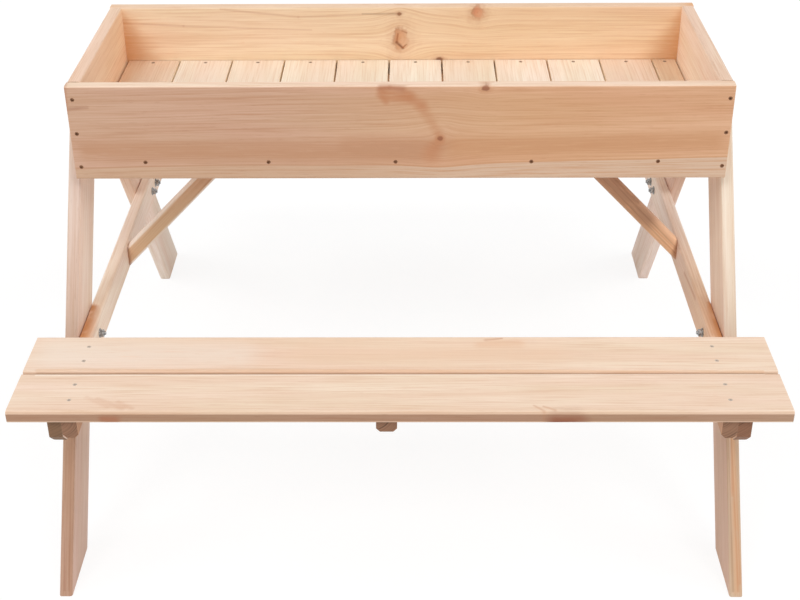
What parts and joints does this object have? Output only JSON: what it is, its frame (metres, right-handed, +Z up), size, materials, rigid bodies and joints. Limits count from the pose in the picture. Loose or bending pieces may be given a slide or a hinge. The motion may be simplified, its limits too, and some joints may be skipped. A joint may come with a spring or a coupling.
{
  "type": "picnic table with sandbox",
  "caption": "Child's pine picnic table with a slat-floored sandbox for a top, a plank bench along each long side, leaning mitred legs, bolted seat beams and braces.",
  "frame": {"origin": "on the ground, under the middle of the sandbox", "axes": "+X along the benches to the right, +Y from the front bench to the rear bench, +Z up"},
  "size_m": [1, 0.9794, 0.62],
  "materials": {
    "pine_walls": "planed, untreated",
    "pine_floor": "planed, untreated",
    "pine_frame": "planed, untreated",
    "pine_seats": "planed, untreated",
    "pine_battens": "sawn, untreated",
    "screw_steel": "zinc plated",
    "bolt_steel": "zinc plated"
  },
  "bodies": {
    "root": {"batten_screws": "screw_steel", "bolts": "bolt_steel", "brace_screws": "screw_steel", "centre_batten": "pine_battens", "cleat_screws": "screw_steel", "corner_screws": "screw_steel", "floor_slat_01": "pine_floor", "floor_slat_02": "pine_floor", "floor_slat_03": "pine_floor", "floor_slat_04": "pine_floor", "floor_slat_05": "pine_floor", "floor_slat_06": "pine_floor", "floor_slat_07": "pine_floor", "floor_slat_08": "pine_floor", "floor_slat_09": "pine_floor", "floor_slat_10": "pine_floor", "floor_slat_11": "pine_floor", "front_board": "pine_walls", "front_ledger": "pine_battens", "front_left_leg": "pine_frame", "front_right_leg": "pine_frame", "front_seat_inner_plank": "pine_seats", "front_seat_left_cleat": "pine_battens", "front_seat_middle_cleat": "pine_battens", "front_seat_outer_plank": "pine_seats", "front_seat_right_cleat": "pine_battens", "ledger_screws": "screw_steel", "left_brace": "pine_battens", "left_seat_beam": "pine_frame", "left_side_board": "pine_walls", "leg_screws": "screw_steel", "nuts": "bolt_steel", "rear_board": "pine_walls", "rear_ledger": "pine_battens", "rear_left_leg": "pine_frame", "rear_right_leg": "pine_frame", "rear_seat_inner_plank": "pine_seats", "rear_seat_left_cleat": "pine_battens", "rear_seat_middle_cleat": "pine_battens", "rear_seat_outer_plank": "pine_seats", "rear_seat_right_cleat": "pine_battens", "right_brace": "pine_battens", "right_seat_beam": "pine_frame", "right_side_board": "pine_walls", "seat_screws": "screw_steel", "slat_screws": "screw_steel", "washers": "bolt_steel"}
  },
  "joints": []
}
